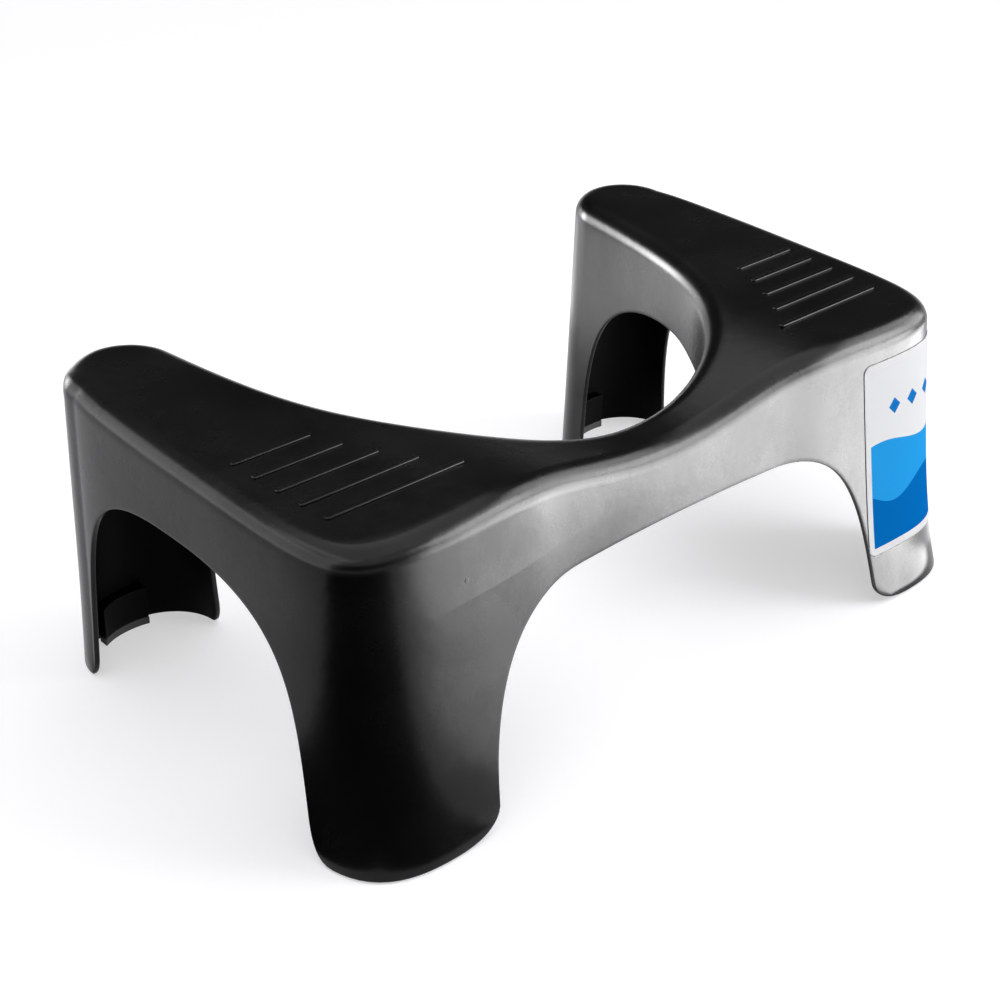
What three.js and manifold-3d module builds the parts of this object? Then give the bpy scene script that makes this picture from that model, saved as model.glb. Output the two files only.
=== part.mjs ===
// Toilet footstool: a U-shaped moulded shell on four hollow legs, with grip ribs on both wings,
// a rubber strip in each foot and a paper label round one front leg.
// X runs across the stool, +Y to the open side of the U, +Z up. The origin is on the floor
// under the middle of the stool. Lengths are in millimetres.
import * as THREE from 'three';
import { mergeVertices } from 'three/addons/utils/BufferGeometryUtils.js';
import Module from 'manifold-3d';

const wasm = await Module();
wasm.setup();

// Top face: a plane that climbs from the front shoulders to the tips, with a dip over the waist
const TOP_AT_FRONT = 168.9;
const TIP_RISE = 10.9;
const WAIST_DIP = 18.5;
const DIP_MARGIN = 8.5;
const EDGE_RADIUS = 11.1;
const WALL = 3;

// Right half of the outline, taken where the rounded top edge meets the wall: widest point of
// the side, shoulder, middle of the front, bottom of the U, round tip and bend of the U
const SIDE_X = 226.1;
const SIDE_Y = -4.5;
const SHOULDER_INSET = 84.6;
const SHOULDER_DEPTH = 122.2;
const SHOULDER_TURN = THREE.MathUtils.degToRad(-4.5);
const FRONT_RECESS = 9.7;
const WAIST_DEPTH = 34.5;
const TIP_INSET = 4.9;
const TIP_Y = 107.4;
const TIP_RADIUS = 33;
const TIP_TURN = THREE.MathUtils.degToRad(172.2);
const BEND_INSET = 120.8;
const BEND_DEPTH = 34.2;
const BEND_TURN = THREE.MathUtils.degToRad(229);

// Handles of the outline's curves as shares of each curve's chord
const FRONT_SHARES = [0.776, 0.454];
const CORNER_SHARES = [0.61, 0.759];
const SIDE_SHARES = [0.989, 0.072];
const INSIDE_SHARES = [0.42, 0.31];
const BEND_SHARES = [0.476, 0.242];

// How far the foot of each wall stands out from its top: an even slope and a kick near the floor
const SIDE_SLOPE = 7.52;
const SIDE_KICK = 1.64;
const INNER_SLOPE = 8.6;
const INNER_KICK = 0.2;
const FRONT_SLOPE = 17.48;
const FRONT_KICK = 5;
const CORNER_KICK = 3.8;
const REAR_SLOPE = 2.9;
const REAR_KICK = 0.3;
const KICK_POWER = 3.95;

// Lower edge of the walls: the rim of the feet, the width of each foot up to the limb of the
// arch beside it, and the aprons that the arches leave under the top
const RIM_HEIGHT = 1;
const FRONT_APRON = 39.5;
const FRONT_ARCH_FLAT = 60;
const FRONT_FOOT_WIDTH = 76.4;
const FRONT_LIMB_HEIGHT = 15.5;
const FRONT_TOE_REACH = 27.5;
const SIDE_APRON = 37.6;
const SIDE_FLAT_Y = 12;
const SIDE_FLAT_LENGTH = 8;
const FORE_FOOT_DEPTH = 29.7;
const FORE_LIMB_HEIGHT = 26;
const FORE_TOE_REACH = 13.2;
const REAR_FOOT_DEPTH = 38.4;
const REAR_LIMB_HEIGHT = 12.5;
const REAR_TOE_REACH = 7.2;
const INNER_APRON = 37.1;
const INNER_FLAT_Y = 18;
const INNER_FOOT_DEPTH = 38;
const INNER_LIMB_HEIGHT = 15;
const INNER_TOE_REACH = 5.2;
const SKIRT_APRON = 23.4;

// Handles of an arch's curves, as shares: out of the crown, into the limb, out of the limb and
// into the toe, then the lean of the limb
const FRONT_ARCH_SHARES = { crown: 0.371, limb: 1.082, ankle: 0.655, toe: 0.49, lean: 0.115 };
const FORE_ARCH_SHARES = { crown: 0.887, limb: 0.648, ankle: 0.28, toe: 0.75, lean: 0.15 };
const REAR_ARCH_SHARES = { crown: 0.96, limb: 0.65, ankle: 0.6, toe: 0.5, lean: 0.008 };
const INNER_ARCH_SHARES = { crown: 0.99, limb: 0.565, ankle: 0.62, toe: 0.55, lean: 0.008 };
const SKIRT_SHARE = 0.5;

// Grip ribs, counted from the back; their outer ends keep a margin to the side wall
const RIB_BACK_DEPTH = 14;
const RIB_PITCH = 16.86;
const RIB_SIDE_MARGIN = 20.6;
const RIB_LONGEST = 83.2;
const RIB_WIDTH = 3.2;
const RIB_RISE = 1;
const RIB_ROOT = 1.2;
const RIB_CHAMFER = 0.45;
const RIB_LENGTH_SHARES = [0.565, 0.641, 0.734, 0.855, 1];
const RIB_MARGIN_SHARES = [1, 1.02, 1.08, 1.14, 1.24];

// Seat blocks inside the feet and the rubber strips under them
const SEAT_LENGTH = 31.5;
const SEAT_DEPTH = 7;
const SEAT_BOTTOM = 5;
const SEAT_TOP = 25;
const REAR_LEFT_SEAT_LEAD = 10.9;
const REAR_RIGHT_SEAT_LEAD = 22.9;
const FRONT_SEAT_LEAD = 7.2;
const CLEARANCE = 0.3;
const PAD_WALL_GAP = 0.7;

// Label round the front corner of the right-hand leg: how far along the wall it starts past
// the shoulder, its height over the floor and how far it stays under the top
const LABEL_LEAD = 0.655;
const LABEL_WIDTH = 84;
const LABEL_BOTTOM = 33;
const LABEL_DROP = 17.4;
const LABEL_CORNER = 5;
const LABEL_THICKNESS = 0.4;
const LABEL_LEAN_SHARE = 0.044;
const LABEL_TAPER_SHARE = 0.03;

// Fineness of the meshes
const OUTLINE_STEPS = 160;
const COLUMN_PITCH = 9.5;
const FILLET_STEPS = 4;
const OUTSIDE_STEPS = 5;
const INSIDE_STEPS = 3;
const WALL_STEP_POWER = 0.8;
const SEAT_STEPS = 6;
const RIB_END_STEPS = 3;
const LABEL_PITCH = 5;
const LABEL_CORNER_STEPS = 3;

const at = (x, y) => new THREE.Vector2(x, y);
const heading = (angle) => at(Math.cos(angle), Math.sin(angle));

// Places and heights that follow from the sizes
const SHOULDER_X = SIDE_X - SHOULDER_INSET;
const SHOULDER = at(SHOULDER_X, -SHOULDER_DEPTH);
const WAIST_HALF_WIDTH = SHOULDER_X - DIP_MARGIN;
const FRONT_DEPTH = SHOULDER_DEPTH - FRONT_RECESS;
const U_DEPTH = FRONT_DEPTH - WAIST_DEPTH;
const TIP_X = SIDE_X - TIP_INSET - TIP_RADIUS;
const TIP_END = at(TIP_X, TIP_Y).addScaledVector(heading(TIP_TURN), TIP_RADIUS);
const REAR_DEPTH = TIP_Y + TIP_RADIUS;
const BEND_X = SIDE_X - BEND_INSET;
const TOP_SLOPE = TIP_RISE / (REAR_DEPTH + SHOULDER_DEPTH);
const WAIST_HEIGHT = TOP_AT_FRONT - WAIST_DIP;
const FRONT_LIMB_X = SIDE_X - FRONT_FOOT_WIDTH;
const FRONT_TOE_X = FRONT_LIMB_X + FRONT_TOE_REACH;
const FORE_LIMB_DEPTH = SHOULDER_DEPTH - FORE_FOOT_DEPTH;
const REAR_LIMB_Y = REAR_DEPTH - REAR_FOOT_DEPTH;
const INNER_LIMB_Y = REAR_DEPTH - INNER_FOOT_DEPTH;
const INNER_TOE_Y = INNER_LIMB_Y + INNER_TOE_REACH;
const REAR_TOE_Y = REAR_LIMB_Y + REAR_TOE_REACH;
const FORE_TOE_DEPTH = FORE_LIMB_DEPTH + FORE_TOE_REACH;
const SIDE_ARCH_HEIGHT = TOP_AT_FRONT - SIDE_APRON;
const INNER_ARCH_HEIGHT = TOP_AT_FRONT - INNER_APRON;
const FRONT_ARCH_HEIGHT = WAIST_HEIGHT - FRONT_APRON;
const SKIRT_HEIGHT = WAIST_HEIGHT - SKIRT_APRON;
const LABEL_TOP = TOP_AT_FRONT - LABEL_DROP;

// Height of the top face at a point of the plan
function topHeight(x, y) {
  const across = Math.min(Math.abs(x) / WAIST_HALF_WIDTH, 1);
  const dip = WAIST_DIP * (1 + Math.cos(Math.PI * across)) / 2;
  return TOP_AT_FRONT + TOP_SLOPE * (y + SHOULDER_DEPTH) - dip;
}

// Cubic between two points that leaves and arrives along given headings
function cubic(from, leave, to, arrive, shares) {
  const chord = from.distanceTo(to);
  const first = from.clone().addScaledVector(leave, chord * shares[0]);
  const second = to.clone().addScaledVector(arrive, -chord * shares[1]);
  return new THREE.CubicBezierCurve(from, first, second, to);
}

// The right half of the outline as a table of points with their outward normals and the
// length run from the front centre
function outlineTable() {
  const side = at(SIDE_X, SIDE_Y);
  const bend = at(BEND_X, -BEND_DEPTH);
  const right = heading(0);
  const up = heading(Math.PI / 2);
  const left = heading(Math.PI);
  const shoulderWay = heading(SHOULDER_TURN);
  const bendWay = heading(BEND_TURN);
  const curves = [
    cubic(at(0, -FRONT_DEPTH), right, SHOULDER, shoulderWay, FRONT_SHARES),
    cubic(SHOULDER, shoulderWay, side, up, CORNER_SHARES),
    cubic(side, up, at(TIP_X + TIP_RADIUS, TIP_Y), up, SIDE_SHARES),
    new THREE.EllipseCurve(TIP_X, TIP_Y, TIP_RADIUS, TIP_RADIUS, 0, TIP_TURN, false),
    cubic(TIP_END, heading(TIP_TURN + Math.PI / 2), bend, bendWay, INSIDE_SHARES),
    cubic(bend, bendWay, at(0, -U_DEPTH), left, BEND_SHARES),
  ];
  const table = [];
  let run = 0;
  for (const curve of curves) {
    for (let k = 0; k <= OUTLINE_STEPS; k += 1) {
      const share = k / OUTLINE_STEPS;
      const point = curve.getPoint(share);
      const way = curve.getTangent(share);
      const last = table.at(-1);
      run += last ? point.distanceTo(last.point) : 0;
      if (k > 0 || !last) table.push({ point, normal: at(way.y, -way.x), run });
    }
  }
  const highest = table.reduce((best, entry) => Math.max(best, entry.point.y), 0);
  const apex = table.findIndex((entry) => entry.point.y === highest);
  table.forEach((entry, k) => { entry.inner = k > apex; });
  return table;
}

const OUTLINE = outlineTable();
const LABEL_START = OUTLINE[OUTLINE_STEPS].run + LABEL_LEAD;
const WIDEST = OUTLINE.reduce((best, entry, k) => (
  entry.point.x > OUTLINE[best].point.x ? k : best), 0);
const APEX = OUTLINE.findIndex((entry) => entry.inner) - 1;

// Entry of the table, worked out between its points, where a value passes a mark
function entryWhere(entries, value, mark) {
  const rising = value(entries.at(-1)) > value(entries[0]) ? 1 : -1;
  const found = entries.findIndex((entry) => (value(entry) - mark) * rising > 0);
  const k = found < 0 ? entries.length - 1 : Math.max(found, 1);
  const before = entries[k - 1];
  const after = entries[k];
  const share = (mark - value(before)) / (value(after) - value(before));
  return {
    point: before.point.clone().lerp(after.point, share),
    normal: before.normal.clone().lerp(after.normal, share).normalize(),
    run: THREE.MathUtils.lerp(before.run, after.run, share),
    inner: after.inner,
  };
}

const atRun = (run) => entryWhere(OUTLINE, (entry) => entry.run, run);

// How far the outside of the wall stands out from the outline at a height
function standOut(entry, z) {
  const { point, normal, inner } = entry;
  const wallTop = topHeight(point.x, point.y) - EDGE_RADIUS;
  const fall = Math.max((wallTop - z) / wallTop, 0);
  const sideShare = normal.x * normal.x;
  const endShare = normal.y * normal.y;
  const sideSlope = inner ? INNER_SLOPE : SIDE_SLOPE;
  const sideKick = inner ? INNER_KICK : SIDE_KICK;
  const endSlope = normal.y < 0 ? FRONT_SLOPE : REAR_SLOPE;
  const endKick = normal.y < 0 ? FRONT_KICK : REAR_KICK;
  const slope = sideSlope * sideShare + endSlope * endShare;
  const cornerShare = inner || normal.y > 0 ? 0 : Math.abs(2 * normal.x * normal.y);
  const kick = sideKick * sideShare + endKick * endShare + CORNER_KICK * cornerShare;
  return slope * fall + kick * fall ** KICK_POWER;
}

// Point of the wall at a height, set in from its outside
function wallPoint(entry, z, inset) {
  const plan = entry.point.clone().addScaledVector(entry.normal, standOut(entry, z) - inset);
  return new THREE.Vector3(plan.x, plan.y, z);
}

// One side of an arch, in plan place and height: a curve from the level crown into the limb,
// and a curve from the limb out into the rim of the foot
function archSide(crown, limb, toe, shares) {
  const way = Math.sign(toe.x - crown.x);
  const drop = crown.y - limb.y;
  const fall = limb.y - toe.y;
  const crownReach = (limb.x - crown.x) * shares.crown;
  const limbRise = drop * shares.limb;
  const ankleFall = fall * shares.ankle;
  const toeReach = (toe.x - limb.x) * shares.toe;
  const bend = new THREE.CubicBezierCurve(
    crown,
    at(crown.x + crownReach, crown.y),
    at(limb.x - way * limbRise * shares.lean, limb.y + limbRise),
    limb,
  );
  const foot = new THREE.CubicBezierCurve(
    limb,
    at(limb.x + way * ankleFall * shares.lean, limb.y - ankleFall),
    at(toe.x - toeReach, toe.y),
    toe,
  );
  return [bend, foot];
}

const turned = (curve) => new THREE.CubicBezierCurve(curve.v3, curve.v2, curve.v1, curve.v0);

// Columns of the wall from the front centre to the middle of the U: where each stands on the
// outline and how low it reaches
function wallColumns() {
  const frontEntries = OUTLINE.slice(0, WIDEST + 1);
  const outerEntries = OUTLINE.slice(0, APEX + 1).filter((entry) => entry.normal.x > 0
    && entry.point.y > -SHOULDER_DEPTH);
  const innerEntries = OUTLINE.slice(APEX);
  const byX = (x) => entryWhere(frontEntries, (entry) => entry.point.x, x).run;
  const bySide = (y) => entryWhere(outerEntries, (entry) => entry.point.y, y).run;
  const byInside = (y) => entryWhere(innerEntries, (entry) => entry.point.y, y).run;
  const byRun = (run) => run;

  const [frontBend, frontFoot] = archSide(
    at(FRONT_ARCH_FLAT, FRONT_ARCH_HEIGHT),
    at(FRONT_LIMB_X, FRONT_LIMB_HEIGHT),
    at(FRONT_TOE_X, RIM_HEIGHT),
    FRONT_ARCH_SHARES,
  );
  const [foreBend, foreFoot] = archSide(
    at(SIDE_FLAT_Y, SIDE_ARCH_HEIGHT),
    at(-FORE_LIMB_DEPTH, FORE_LIMB_HEIGHT),
    at(-FORE_TOE_DEPTH, RIM_HEIGHT),
    FORE_ARCH_SHARES,
  );
  const [rearBend, rearFoot] = archSide(
    at(SIDE_FLAT_Y + SIDE_FLAT_LENGTH, SIDE_ARCH_HEIGHT),
    at(REAR_LIMB_Y, REAR_LIMB_HEIGHT),
    at(REAR_TOE_Y, RIM_HEIGHT),
    REAR_ARCH_SHARES,
  );
  const [innerBend, innerFoot] = archSide(
    at(INNER_FLAT_Y, INNER_ARCH_HEIGHT),
    at(INNER_LIMB_Y, INNER_LIMB_HEIGHT),
    at(INNER_TOE_Y, RIM_HEIGHT),
    INNER_ARCH_SHARES,
  );
  const skirtReach = (INNER_FLAT_Y + BEND_DEPTH) * SKIRT_SHARE;
  const skirt = new THREE.CubicBezierCurve(
    at(INNER_FLAT_Y, INNER_ARCH_HEIGHT),
    at(INNER_FLAT_Y - skirtReach, INNER_ARCH_HEIGHT),
    at(skirtReach - BEND_DEPTH, SKIRT_HEIGHT),
    at(-BEND_DEPTH, SKIRT_HEIGHT),
  );
  const line = (from, to) => new THREE.LineCurve(from, to);
  const whole = OUTLINE.at(-1).run;
  const pieces = [
    [line(at(0, FRONT_ARCH_HEIGHT), at(FRONT_ARCH_FLAT, FRONT_ARCH_HEIGHT)), byX],
    [frontBend, byX],
    [frontFoot, byX],
    [line(at(byX(FRONT_TOE_X), RIM_HEIGHT), at(bySide(-FORE_TOE_DEPTH), RIM_HEIGHT)), byRun],
    [turned(foreFoot), bySide],
    [turned(foreBend), bySide],
    [line(foreBend.v0, rearBend.v0), bySide],
    [rearBend, bySide],
    [rearFoot, bySide],
    [line(at(bySide(REAR_TOE_Y), RIM_HEIGHT), at(byInside(INNER_TOE_Y), RIM_HEIGHT)), byRun],
    [turned(innerFoot), byInside],
    [turned(innerBend), byInside],
    [skirt, byInside],
    [line(at(byInside(-BEND_DEPTH), SKIRT_HEIGHT), at(whole, SKIRT_HEIGHT)), byRun],
  ];
  const columns = [{ ...OUTLINE[0], low: FRONT_ARCH_HEIGHT }];
  for (const [curve, runOf] of pieces) {
    const steps = Math.max(Math.round(curve.getLength() / COLUMN_PITCH), 2);
    for (const place of curve.getSpacedPoints(steps).slice(1)) {
      columns.push({ ...atRun(runOf(place.x)), low: place.y });
    }
  }
  return columns;
}

// Points of one column, from the outer edge of the top face over the rounded edge, down the
// outside, round the rim, up the inside and back to the underside of the top
function columnPoints(column) {
  const { point, normal, low } = column;
  const wallTop = topHeight(point.x, point.y) - EDGE_RADIUS;
  const points = [];
  const roundPoint = (angle, radius) => {
    const plan = point.clone().addScaledVector(normal, radius * Math.cos(angle) - EDGE_RADIUS);
    const z = topHeight(plan.x, plan.y) - EDGE_RADIUS + radius * Math.sin(angle);
    return new THREE.Vector3(plan.x, plan.y, z);
  };
  for (let k = FILLET_STEPS; k > 0; k -= 1) {
    points.push(roundPoint(Math.PI / 2 * k / FILLET_STEPS, EDGE_RADIUS));
  }
  for (let k = 0; k <= OUTSIDE_STEPS; k += 1) {
    const share = (k / OUTSIDE_STEPS) ** WALL_STEP_POWER;
    points.push(wallPoint(column, THREE.MathUtils.lerp(wallTop, low, share), 0));
  }
  for (let k = INSIDE_STEPS; k > 0; k -= 1) {
    const share = (k / INSIDE_STEPS) ** WALL_STEP_POWER;
    points.push(wallPoint(column, THREE.MathUtils.lerp(wallTop, low, share), WALL));
  }
  for (let k = 0; k < FILLET_STEPS; k += 1) {
    points.push(roundPoint(Math.PI / 2 * k / (FILLET_STEPS - 1), EDGE_RADIUS - WALL));
  }
  return points;
}

// Triangles of one half of the horseshoe face, laced between the columns of the outer edge and
// those of the inner edge, which meet at the tip. Over the waist they run straight from front
// to back, as the dip does.
function laceHalf(points, lastColumn) {
  const triangles = [];
  let outer = 0;
  let inner = lastColumn;
  while (inner - outer > 1) {
    const overWaist = Math.min(points[outer].x, points[inner].x) < WAIST_HALF_WIDTH;
    const spread = (a, b) => (overWaist ? Math.abs(a.x - b.x) : a.distanceTo(b));
    const stepOuter = spread(points[outer + 1], points[inner]);
    const stepInner = spread(points[outer], points[inner - 1]);
    if (stepOuter < stepInner) {
      triangles.push([outer, outer + 1, inner]);
      outer += 1;
    } else {
      triangles.push([outer, inner - 1, inner]);
      inner -= 1;
    }
  }
  return triangles;
}

function geometryFrom(points, triangles) {
  const geometry = new THREE.BufferGeometry();
  geometry.setFromPoints(points);
  geometry.setIndex(triangles.flat());
  return geometry;
}

// The shell without ribs and seats: both halves of the columns joined in one closed ring
function shellGeometry() {
  const half = wallColumns().map(columnPoints);
  const last = half.length - 1;
  const rows = half[0].length;
  const mirror = (p) => new THREE.Vector3(-p.x, p.y, p.z);
  const otherHalf = half.slice(1, last).reverse().map((column) => column.map(mirror));
  const columns = [...half, ...otherHalf];
  const count = columns.length;
  const index = (column, row) => (column % count) * rows + row;
  const triangles = [];
  for (let c = 0; c < count; c += 1) {
    for (let r = 0; r < rows - 1; r += 1) {
      triangles.push([index(c, r), index(c, r + 1), index(c + 1, r + 1)]);
      triangles.push([index(c, r), index(c + 1, r + 1), index(c + 1, r)]);
    }
  }
  const laced = laceHalf(half.map((column) => column[0]), last);
  for (const [a, b, c] of laced) {
    const faces = [[a, b, c], [count - a, count - c, count - b]];
    for (const [i, j, k] of faces) {
      triangles.push([index(i, 0), index(j, 0), index(k, 0)]);
      triangles.push([index(i, rows - 1), index(k, rows - 1), index(j, rows - 1)]);
    }
  }
  return geometryFrom(columns.flat(), triangles);
}

// Closed solid through layers of paired rails, each layer a front rail and a back rail
function railSolid(layers) {
  const pairs = layers[0][0].length;
  const ring = 2 * pairs;
  const points = layers.flatMap(([front, back]) => [...front, ...back.toReversed()]);
  const triangles = [];
  for (let l = 0; l < layers.length - 1; l += 1) {
    for (let k = 0; k < ring; k += 1) {
      const a = l * ring + k;
      const b = l * ring + (k + 1) % ring;
      triangles.push([a, b, b + ring], [a, b + ring, a + ring]);
    }
  }
  const top = (layers.length - 1) * ring;
  for (let k = 0; k < pairs - 1; k += 1) {
    const far = ring - 1 - k;
    triangles.push([k, far, far - 1], [k, far - 1, k + 1]);
    triangles.push([top + k, top + far - 1, top + far], [top + k, top + k + 1, top + far - 1]);
  }
  return geometryFrom(points, triangles);
}

// Copy of a geometry on the other side of the stool
function mirrored(geometry) {
  const copy = geometry.clone().scale(-1, 1, 1);
  const index = Array.from(copy.index.array);
  for (let k = 0; k < index.length; k += 3) {
    [index[k], index[k + 1]] = [index[k + 1], index[k]];
  }
  copy.setIndex(index);
  return copy;
}

const onSide = (place, geometry) => (place.left ? mirrored(geometry) : geometry);

// Row of points along the foot of a wall between two places, at a height and an inset
function wallRow(entries, startX, z, inset) {
  const points = [];
  for (let k = 0; k <= SEAT_STEPS; k += 1) {
    const x = startX + SEAT_LENGTH * k / SEAT_STEPS;
    const moved = (entry) => wallPoint(entry, z, inset).x;
    const entry = entryWhere(entries, moved, x);
    points.push(new THREE.Vector3(x, wallPoint(entry, z, inset).y, z));
  }
  return points;
}

// Block along the inside of a foot between two heights and two insets from the outside of the
// wall: the seat that is moulded into the wall, or the rubber strip under it
function footBlock(place, low, high, inset) {
  const layer = (z) => {
    const back = wallRow(place.entries, place.x, z, inset);
    const face = wallRow(place.entries, place.x, z, WALL + SEAT_DEPTH);
    return place.rear ? [face, back] : [back, face];
  };
  return railSolid([layer(low), layer(high)]);
}

const seatGeometry = (place) => footBlock(place, SEAT_BOTTOM, SEAT_TOP, WALL / 2);
const padGeometry = (place) => footBlock(place, 0, SEAT_BOTTOM - CLEARANCE, WALL + PAD_WALL_GAP);

// Places of the seats, given for the right half; those of the left half are mirrored
const FRONT_ENTRIES = OUTLINE.slice(0, WIDEST + 1);
const REAR_ENTRIES = OUTLINE.filter((entry) => entry.point.y > TIP_Y);
const FRONT_SEAT_X = FRONT_TOE_X - FRONT_SEAT_LEAD;
const SEATS = [
  { node: 'foot_pad_rear_right', entries: REAR_ENTRIES, rear: true, x: TIP_X - REAR_RIGHT_SEAT_LEAD },
  { node: 'foot_pad_rear_left', entries: REAR_ENTRIES, rear: true, x: TIP_X - REAR_LEFT_SEAT_LEAD,
    left: true },
  { node: 'foot_pad_front_right', entries: FRONT_ENTRIES, x: FRONT_SEAT_X },
  { node: 'foot_pad_front_left', entries: FRONT_ENTRIES, x: FRONT_SEAT_X, left: true },
];

// One grip rib: a bar with round ends and chamfered edges, rooted in the sloping top face
function ribGeometry(order) {
  const outerX = SIDE_X - RIB_SIDE_MARGIN * RIB_MARGIN_SHARES[order];
  const length = RIB_LONGEST * RIB_LENGTH_SHARES[order];
  const y = -(RIB_BACK_DEPTH + RIB_PITCH * order);
  const radius = RIB_WIDTH / 2;
  const reach = length / 2 - radius;
  const shape = new THREE.Shape();
  shape.absarc(reach, 0, radius, -Math.PI / 2, Math.PI / 2, false);
  shape.absarc(-reach, 0, radius, Math.PI / 2, -Math.PI / 2, false);
  const geometry = new THREE.ExtrudeGeometry(shape, {
    depth: RIB_ROOT + RIB_RISE - RIB_CHAMFER - RIB_CHAMFER,
    curveSegments: RIB_END_STEPS,
    bevelThickness: RIB_CHAMFER,
    bevelSize: RIB_CHAMFER,
    bevelOffset: -RIB_CHAMFER,
    bevelSegments: 1,
  });
  const x = outerX - length / 2;
  geometry.rotateX(Math.atan(TOP_SLOPE));
  geometry.translate(x, y, topHeight(x, y) - RIB_ROOT + RIB_CHAMFER);
  return geometry;
}

// The label: a thin sheet that follows the wall round the corner of the leg
function labelGeometry() {
  const height = LABEL_TOP - LABEL_BOTTOM;
  const places = [];
  for (let k = 0; k < LABEL_CORNER_STEPS; k += 1) {
    places.push(LABEL_CORNER * (1 - Math.cos(Math.PI / 2 * k / LABEL_CORNER_STEPS)));
  }
  const flat = LABEL_WIDTH - LABEL_CORNER - LABEL_CORNER;
  const flatSteps = Math.round(flat / LABEL_PITCH);
  for (let k = 0; k <= flatSteps; k += 1) {
    places.push(LABEL_CORNER + flat * k / flatSteps);
  }
  for (let k = LABEL_CORNER_STEPS - 1; k >= 0; k -= 1) {
    places.push(LABEL_WIDTH - places[k]);
  }
  const layers = places.map((place) => {
    const edge = Math.min(place, LABEL_WIDTH - place, LABEL_CORNER);
    const short = LABEL_CORNER - edge;
    const trim = LABEL_CORNER - Math.sqrt(LABEL_CORNER * LABEL_CORNER - short * short);
    const inner = [];
    const outer = [];
    for (let k = 0; k <= OUTSIDE_STEPS; k += 1) {
      const z = THREE.MathUtils.lerp(LABEL_BOTTOM + trim, LABEL_TOP - trim, k / OUTSIDE_STEPS);
      const below = LABEL_TOP - z;
      const width = place * (1 - LABEL_TAPER_SHARE * below / height);
      const entry = atRun(LABEL_START + below * LABEL_LEAN_SHARE + width);
      inner.push(wallPoint(entry, z, -CLEARANCE));
      outer.push(wallPoint(entry, z, -CLEARANCE - LABEL_THICKNESS));
    }
    return [inner, outer];
  });
  return railSolid(layers);
}

// A closed geometry as a solid for joining and cutting
function toSolid(geometry) {
  const bare = geometry.clone();
  bare.deleteAttribute('normal');
  bare.deleteAttribute('uv');
  const merged = mergeVertices(bare);
  return new wasm.Manifold(new wasm.Mesh({
    numProp: 3,
    vertProperties: new Float32Array(merged.attributes.position.array),
    triVerts: new Uint32Array(merged.index.array),
  }));
}

function fromSolid(solid) {
  const mesh = solid.getMesh();
  const geometry = new THREE.BufferGeometry();
  geometry.setAttribute('position', new THREE.BufferAttribute(mesh.vertProperties, 3));
  geometry.setIndex(new THREE.BufferAttribute(mesh.triVerts, 1));
  return geometry;
}

// The whole moulding: the shell with its seats and ribs on both sides
function bodyGeometry() {
  const ribs = RIB_LENGTH_SHARES.map((share, order) => mergeVertices(ribGeometry(order)));
  const seats = SEATS.map((place) => onSide(place, seatGeometry(place)));
  const extras = [...seats, ...ribs, ...ribs.map(mirrored)];
  const solid = extras.reduce((sum, extra) => sum.add(toSolid(extra)), toSolid(shellGeometry()));
  return fromSolid(solid);
}

const plastic = new THREE.MeshStandardMaterial({ color: 0x17171a, roughness: 0.32, metalness: 0 });
const rubber = new THREE.MeshStandardMaterial({ color: 0x1c1c1c, roughness: 0.85, metalness: 0 });
const paper = new THREE.MeshStandardMaterial({ color: 0xdfe8f1, roughness: 0.4, metalness: 0 });

const stool = new THREE.Group();

function addPiece(name, geometry, material) {
  geometry.computeVertexNormals();
  const mesh = new THREE.Mesh(geometry, material);
  mesh.name = name;
  stool.add(mesh);
}

addPiece('stool_body', bodyGeometry(), plastic);
SEATS.forEach((place) => addPiece(place.node, onSide(place, padGeometry(place)), rubber));
addPiece('front_label', labelGeometry(), paper);

export default stool;
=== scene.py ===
import math

import bmesh
import bpy
import numpy as np
from mathutils import Matrix, Vector


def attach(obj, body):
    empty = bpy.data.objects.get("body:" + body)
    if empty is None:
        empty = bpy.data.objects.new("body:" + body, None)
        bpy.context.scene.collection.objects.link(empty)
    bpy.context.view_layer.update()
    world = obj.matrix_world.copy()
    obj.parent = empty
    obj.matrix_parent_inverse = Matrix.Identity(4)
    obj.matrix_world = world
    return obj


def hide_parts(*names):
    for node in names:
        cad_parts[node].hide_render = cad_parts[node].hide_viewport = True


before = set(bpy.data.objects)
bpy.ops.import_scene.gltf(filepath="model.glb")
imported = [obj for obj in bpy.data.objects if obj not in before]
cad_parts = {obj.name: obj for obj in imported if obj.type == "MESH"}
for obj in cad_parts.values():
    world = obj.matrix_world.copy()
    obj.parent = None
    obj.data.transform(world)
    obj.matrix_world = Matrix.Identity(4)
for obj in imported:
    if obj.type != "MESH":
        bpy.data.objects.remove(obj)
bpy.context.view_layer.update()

# Room: a pale studio floor that fills the picture behind the stool, with soft lamps around it
# and a dim grey room whose walls look white to the camera. The camera stands front left of the
# stool and looks down on it.
BLACK = (0, 0, 0, 1)
WHITE = (1, 1, 1, 1)
FLOOR_CORNERS = ((-9, -9), (9, -9), (9, 9), (-9, 9))
FLOOR_COLOUR = (0.62, 0.61, 0.64, 1)
FLOOR_LIFT = 0.52
LAMPLIT_REACH, UNLIT_REACH = 1, 4.5
ROOM_COLOUR = (0.03, 0.03, 0.032, 1)
ROOM_WHITE_LOW, ROOM_WHITE_HIGH = 0.04, 0.2
STOOL_MIDDLE = (0, -0.1, 0.1)
LEFT_WING = (-0.2, 0, 0.1)
RIGHT_WING_BACK = (0.15, 0.08, 0.17)
SCREEN_HEIGHT = 0.15
CARD_HEIGHT = 0.003
DARK_CARD_HEIGHT = 0.002
DARK_CARD_CORNERS = ((-1.2, -1.2), (-0.12, -1.2), (-0.15, -0.152), (-0.236, -0.152),
                     (-0.236, -0.01), (-1.2, -0.3))
CAMERA_PLACE = Vector((-0.61166, -0.655105, 0.576497))
CAMERA_YAW = 0.7343708
CAMERA_PITCH = 0.5140719
CAMERA_ROLL = -0.00307
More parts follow.
